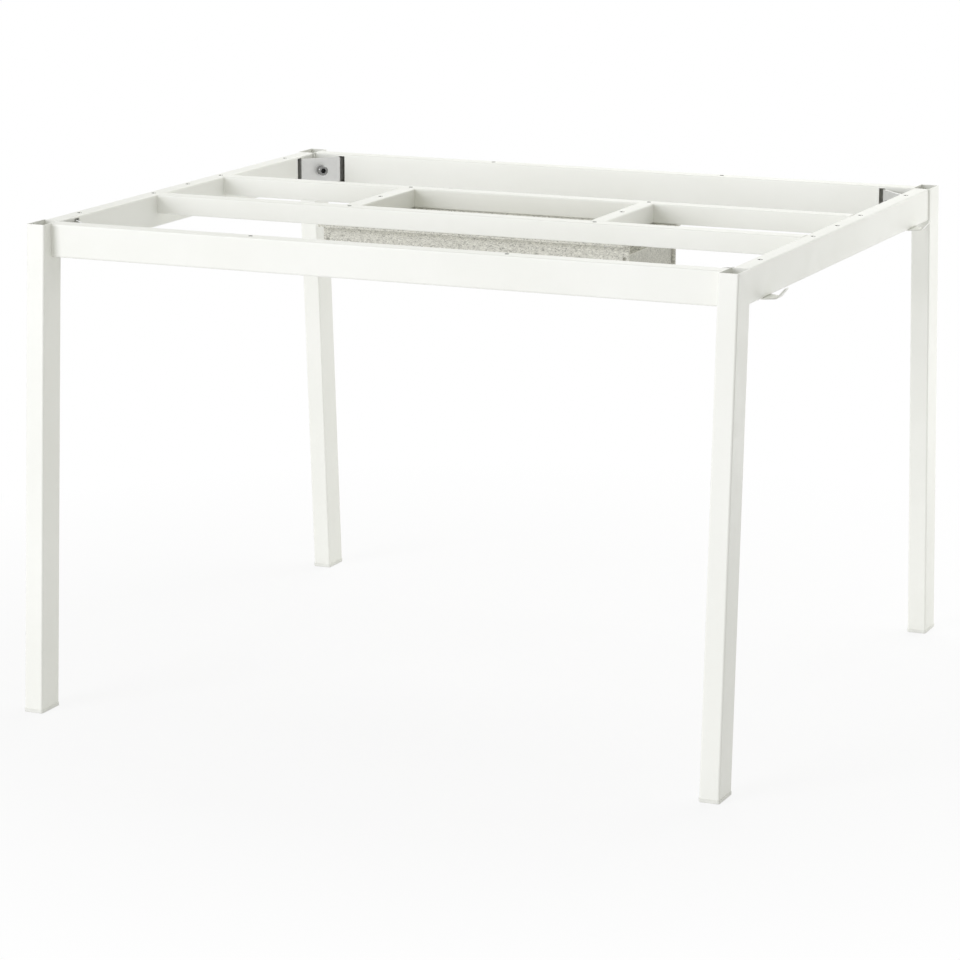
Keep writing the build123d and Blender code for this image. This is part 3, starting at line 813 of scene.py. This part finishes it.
class TABLEFRAME_OT_coat_tubes(Operator):
    """Coat the legs, rails and cross bars, and leave the insides of the tubes bare"""

    bl_idname = "table_frame.coat_tubes"
    bl_label = "Coat Tubes"

    def execute(self, context):
        coat = context.scene.coat_finish
        for name in LEGS:
            self.coat_leg(name, coat)
        for names, across in ((BARS_ALONG_X, (0.0, 1.0, 1.0)), (BARS_ALONG_Y, (1.0, 0.0, 1.0))):
            for name in names:
                self.coat_bar(name, coat, across)
        tongue = powder_coat("coat_tongues", coat)
        for name in TONGUES:
            dress(name, tongue)
        return {"FINISHED"}

    def coat_bar(self, name, coat, across):
        """A straight bar, coated outside."""
        dress(name, powder_coat(f"coat_{name}", coat, (middle(name), across)))

    def coat_leg(self, name, coat):
        """A leaning leg, as deep as a rail is high, coated outside and dusted with coat at its open top."""
        low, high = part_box(name)
        foot = middle(name.replace("leg", "foot"))
        depth = extent("front_rail").z
        outward = math.copysign(1.0, foot.y)
        slope = -outward * (high.y - low.y - depth) / (high.z - low.z)
        axis_y = outward * (min(abs(low.y), abs(high.y)) + depth / 2)
        axis = ((foot.x, axis_y, high.z), (1.0, 1.0, 0.0), slope)
        dress(name, powder_coat(f"coat_{name}", coat, axis, high.z))


class TABLEFRAME_OT_coat_hooks(Operator):
    """Coat the bag hooks all over"""

    bl_idname = "table_frame.coat_hooks"
    bl_label = "Coat Hooks"

    def execute(self, context):
        coat = powder_coat("coat_hooks", context.scene.coat_finish)
        for corner in CORNERS:
            dress(f"bag_hook_{corner}", coat)
        return {"FINISHED"}


class TABLEFRAME_OT_plate_hardware(Operator):
    """Plate the corner brackets, their washers and the blocks in the legs"""

    bl_idname = "table_frame.plate_hardware"
    bl_label = "Plate Hardware"

    def execute(self, context):
        zinc = context.scene.zinc_finish
        plate = zinc_plate("zinc_sheet", zinc, tuple(zinc.plate))
        for name in SHEET_HARDWARE:
            dress(name, plate)
        block = zinc_plate("zinc_block", zinc, tuple(zinc.plate))
        for corner in CORNERS:
            dress(f"leg_nut_{corner}", block)
        return {"FINISHED"}


class TABLEFRAME_OT_turn_bolts(Operator):
    """Turn the corner bolts, with knurled socket heads and threads"""

    bl_idname = "table_frame.turn_bolts"
    bl_label = "Turn Bolts"
    socket_rings = 4

    def execute(self, context):
        sizes = context.scene.fasteners
        zinc = context.scene.zinc_finish
        steel = zinc_plate("bolt_steel", zinc, tuple(zinc.screw), smoothest=0.16, roughest=0.30)
        # The bolt's socket gets near-black painted shade
        recess_shade = zinc_plate("bolt_socket", zinc, tuple(zinc.socket))
        for corner in CORNERS:
            bm = bmesh.new()
            turn_piece(bm, bolt_rings(sizes), 2 * sizes.knurls, self.seat(corner), self.socket_rings)
            new_fastener(f"socket_bolt_{corner}", bm, (steel, recess_shade), f"corner_bolt_{corner}")
        return {"FINISHED"}

    def seat(self, corner):
        """Where the head of a corner's bolt sits on its washer, with Z from the thread to the head."""
        washer = middle(f"corner_washer_{corner}")
        axis = Vector((-washer.x / abs(washer.x), -washer.y / abs(washer.y), 0.0)).normalized()
        low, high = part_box(f"corner_washer_{corner}")
        across = high.z - low.z
        thick = (high.x - low.x) * math.sqrt(2) - across
        place = washer + axis * thick / 2
        return Matrix.Translation(place) @ axis.to_track_quat("Z", "X").to_matrix().to_4x4()


class TABLEFRAME_OT_turn_screws(Operator):
    """Turn the screws of the tray and the hooks, with cross recesses"""

    bl_idname = "table_frame.turn_screws"
    bl_label = "Turn Screws"
    segments = 48
    recess_rings = 3
    twist = 0.7

    def execute(self, context):
        sizes = context.scene.fasteners
        zinc = context.scene.zinc_finish
        steel = zinc_plate("screw_steel", zinc, tuple(zinc.plate))
        # The screws' cross recesses get near-black painted shade
        recess_shade = zinc_plate("screw_recess_shade", zinc, tuple(zinc.socket))
        x, y = self.outermost("tray_screws", sizes.tray_head)
        places = [(step * x, side * y) for step in (-1, 0, 1) for side in (-1, 1)]
        rings = self.rings("tray_screws", sizes, sizes.tray_head, sizes.tray_head_height)
        self.turn("cross_screws_tray", "tray_screws", rings, places, sizes.tray_head_height, (steel, recess_shade))
        x, y = self.outermost("hook_screws", sizes.hook_head)
        backs = (0.0, sizes.hook_step)
        places = [(sx * x, sy * (y - back)) for sx in (-1, 1) for sy in (-1, 1) for back in backs]
        rings = self.rings("hook_screws", sizes, sizes.hook_head, sizes.hook_head_height)
        self.turn("cross_screws_hook", "hook_screws", rings, places, sizes.hook_head_height, (steel, recess_shade))
        return {"FINISHED"}

    def outermost(self, replaced, head):
        """The X and Y of the outermost screw of a group, from the width of its head."""
        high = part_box(replaced)[1]
        return high.x - head / 2, high.y - head / 2

    def rings(self, replaced, sizes, head, head_height):
        """Rings of one screw of a group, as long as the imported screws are."""
        return screw_rings(sizes, head, head_height, extent(replaced).z - head_height)

    def turn(self, name, replaced, rings, places, head_height, finishes):
        """A group of like screws, driven upwards at the given places."""
        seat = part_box(replaced)[0].z + head_height
        bm = bmesh.new()
        for count, (x, y) in enumerate(places):
            upside_down = Matrix.Rotation(math.pi, 4, "X") @ Matrix.Rotation(self.twist * count, 4, "Z")
            matrix = Matrix.Translation((x, y, seat)) @ upside_down
            turn_piece(bm, rings, self.segments, matrix, self.recess_rings)
        new_fastener(name, bm, finishes, replaced)


class TABLEFRAME_OT_mould_feet(Operator):
    """Give the feet their grained plastic"""

    bl_idname = "table_frame.mould_feet"
    bl_label = "Mould Feet"

    def execute(self, context):
        plastic = foot_plastic("foot_plastic", context.scene.foot_finish)
        for corner in CORNERS:
            dress(f"foot_{corner}", plastic)
        return {"FINISHED"}


class TABLEFRAME_OT_fold_trough(Operator):
    """Cut the trough of the cable tray from felt and fold it"""

    bl_idname = "table_frame.fold_trough"
    bl_label = "Fold Trough"

    def execute(self, context):
        felt = context.scene.felt_tray
        fold = TroughFold(felt)
        bm = trough_blank(felt, fold)
        fold_trough(bm, fold, felt.bow)
        thicken(bm, felt)
        roughen(bm, felt)
        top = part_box("tray_trough")[1].z
        for vert in bm.verts:
            vert.co.z = min(vert.co.z, top)
        mesh = mesh_from(bm, "felt_trough")
        material = heathered_felt("felt_trough", felt, shade=1.0)
        piece = new_piece("felt_trough", mesh, material, "felt", "tray_trough")
        return {"FINISHED"}


class TABLEFRAME_OT_cut_tray_ends(Operator):
    """Cut the end panels of the cable tray from felt, with tabs for the slits of the trough"""

    bl_idname = "table_frame.cut_tray_ends"
    bl_label = "Cut Tray Ends"

    def execute(self, context):
        felt = context.scene.felt_tray
        # The end panels get a copy of the felt dimmed by the painted end shade
        material = heathered_felt("felt_end_panels_shaded", felt, felt.painted_end_shade)
        for side in ("left", "right"):
            bm = end_panel_blank(felt, middle(f"tray_end_{side}").x)
            area = sum(face.calc_area() for face in bm.faces)
            thicken(bm, felt)
            roughen(bm, felt)
            name = f"felt_end_{side}"
            piece = new_piece(name, mesh_from(bm, name), material, "felt", f"tray_end_{side}")
        return {"FINISHED"}


class TABLEFRAME_OT_set_stage(Operator):
    """Set up the floor, the lamps, the white surroundings and the camera"""

    bl_idname = "table_frame.set_stage"
    bl_label = "Set Stage"
    key_place = (-4.0, -8.0, 2.5)
    side_place = (1.2, 1.2, 0.6)
    top_place = (0.0, 2.0, 3.0)
    shadow_reach = 0.75
    white_from = 1.5
    least_white = 0.82

    def execute(self, context):
        studio = context.scene.studio
        self.lay_floor(context, studio)
        self.light_room(context, studio)
        key = self.hang_lamp(context, "key_lamp", self.key_place, size=4.5, power=studio.key)
        key.color = studio.daylight
        self.hang_lamp(context, "side_lamp", self.side_place, size=1.2, power=studio.side)
        self.hang_lamp(context, "top_lamp", self.top_place, size=2.5, power=studio.top)
        camera = bpy.data.cameras.new("camera")
        camera.lens = studio.lens
        holder = bpy.data.objects.new("camera", camera)
        holder.location = studio.camera
        holder.rotation_euler = (studio.tilt, 0.0, studio.turn)
        context.scene.collection.objects.link(holder)
        context.scene.camera = holder
        context.scene.view_settings.view_transform = "Standard"
        return {"FINISHED"}

    def seen_rays(self, tree):
        """1 for rays that show the surroundings, straight or in a mirror or glass."""
        ray = node(tree, "ShaderNodeLightPath")
        shown = maths(tree, "ADD", ray.outputs["Is Camera Ray"], ray.outputs["Is Glossy Ray"])
        return maths(tree, "MINIMUM", maths(tree, "ADD", shown, ray.outputs["Is Transmission Ray"]), 1.0)

    def lay_floor(self, context, studio):
        """A pale floor that keeps the frame's shadow near it and turns to plain white further out."""
        material = bpy.data.materials.new("pale_floor")
        material.use_nodes = True
        tree = material.node_tree
        tree.nodes.clear()
        here = place_of(tree).outputs["Object"]
        clean = spread(tree, noise_of(tree, here, size=0.3, detail=4.0), *WIDE_BAND)
        dusty = dimmed(studio.floor, share=0.985)
        colour = mix_colours(tree, clean, opaque(dusty), opaque(studio.floor))
        matt = node(tree, "ShaderNodeBsdfDiffuse", {"Color": colour})
        white = node(tree, "ShaderNodeEmission", {"Color": WHITE, "Strength": 1.0})
        distance = node(tree, "ShaderNodeVectorMath", {0: here}, operation="LENGTH").outputs["Value"]
        away = spread(tree, distance, self.shadow_reach, self.white_from, self.least_white, 1.0)
        share = maths(tree, "MULTIPLY", away, self.seen_rays(tree))
        surface = node(tree, "ShaderNodeMixShader", {0: share, 1: matt.outputs[0], 2: white.outputs[0]})
        node(tree, "ShaderNodeOutputMaterial", {"Surface": surface.outputs[0]})
        bm = bmesh.new()
        bmesh.ops.create_grid(bm, x_segments=8, y_segments=8, size=studio.floor_reach)
        mesh = mesh_from(bm, "floor")
        mesh.materials.append(material)
        floor = bpy.data.objects.new("floor", mesh)
        context.scene.collection.objects.link(floor)

    def light_room(self, context, studio):
        """Even light from all round, in front of a white background."""
        world = bpy.data.worlds.new("studio")
        context.scene.world = world
        world.use_nodes = True
        tree = world.node_tree
        tree.nodes.clear()
        even = node(tree, "ShaderNodeBackground", {"Color": opaque(studio.room), "Strength": studio.ambient})
        white = node(tree, "ShaderNodeBackground", {"Color": WHITE, "Strength": 1.0})
        inputs = {0: self.seen_rays(tree), 1: even.outputs[0], 2: white.outputs[0]}
        both = node(tree, "ShaderNodeMixShader", inputs)
        node(tree, "ShaderNodeOutputWorld", {"Surface": both.outputs[0]})

    def hang_lamp(self, context, name, place, size, power):
        """A large soft lamp that faces the middle of the frame."""
        lamp = bpy.data.lights.new(name, "AREA")
        lamp.size = size
        lamp.energy = power
        holder = bpy.data.objects.new(name, lamp)
        holder.location = place
        holder.visible_camera = False
        aim = (CAD_BOX[0] + CAD_BOX[1]) / 2 - Vector(place)
        holder.rotation_euler = aim.to_track_quat("-Z", "Y").to_euler()
        context.scene.collection.objects.link(holder)
        return lamp


class TABLEFRAME_PT_pieces(Panel):
    """Shows the operators and the settings of the table frame"""

    bl_label = "Table Frame"
    bl_space_type = "VIEW_3D"
    bl_region_type = "UI"
    bl_category = "Table Frame"

    def draw(self, context):
        for operator in OPERATORS:
            self.layout.operator(operator.bl_idname)
        for group in GROUPS:
            settings = getattr(context.scene, group)
            box = self.layout.box()
            box.label(text=group.replace("_", " ").capitalize())
            for name in settings.__annotations__:
                box.prop(settings, name)


GROUPS = {
    "coat_finish": CoatFinish,
    "zinc_finish": ZincFinish,
    "foot_finish": FootFinish,
    "felt_tray": FeltTray,
    "fasteners": Fasteners,
    "studio": Studio,
}
OPERATORS = (
    TABLEFRAME_OT_coat_tubes,
    TABLEFRAME_OT_coat_hooks,
    TABLEFRAME_OT_plate_hardware,
    TABLEFRAME_OT_turn_bolts,
    TABLEFRAME_OT_turn_screws,
    TABLEFRAME_OT_mould_feet,
    TABLEFRAME_OT_fold_trough,
    TABLEFRAME_OT_cut_tray_ends,
    TABLEFRAME_OT_set_stage,
)


def register():
    """Registers the settings, operators and panel."""
    for name, group in GROUPS.items():
        bpy.utils.register_class(group)
        setattr(bpy.types.Scene, name, PointerProperty(type=group))
    for operator in OPERATORS:
        bpy.utils.register_class(operator)
    bpy.utils.register_class(TABLEFRAME_PT_pieces)


def unregister():
    """Takes everything off again, in reverse order."""
    bpy.utils.unregister_class(TABLEFRAME_PT_pieces)
    for operator in reversed(OPERATORS):
        bpy.utils.unregister_class(operator)
    for name, group in reversed(GROUPS.items()):
        delattr(bpy.types.Scene, name)
        bpy.utils.unregister_class(group)


def main():
    """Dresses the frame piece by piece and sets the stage."""
    register()
    bpy.ops.table_frame.coat_tubes()
    bpy.ops.table_frame.coat_hooks()
    bpy.ops.table_frame.plate_hardware()
    bpy.ops.table_frame.turn_bolts()
    bpy.ops.table_frame.turn_screws()
    bpy.ops.table_frame.mould_feet()
    bpy.ops.table_frame.fold_trough()
    bpy.ops.table_frame.cut_tray_ends()
    bpy.ops.table_frame.set_stage()


if __name__ == "__main__":
    main()
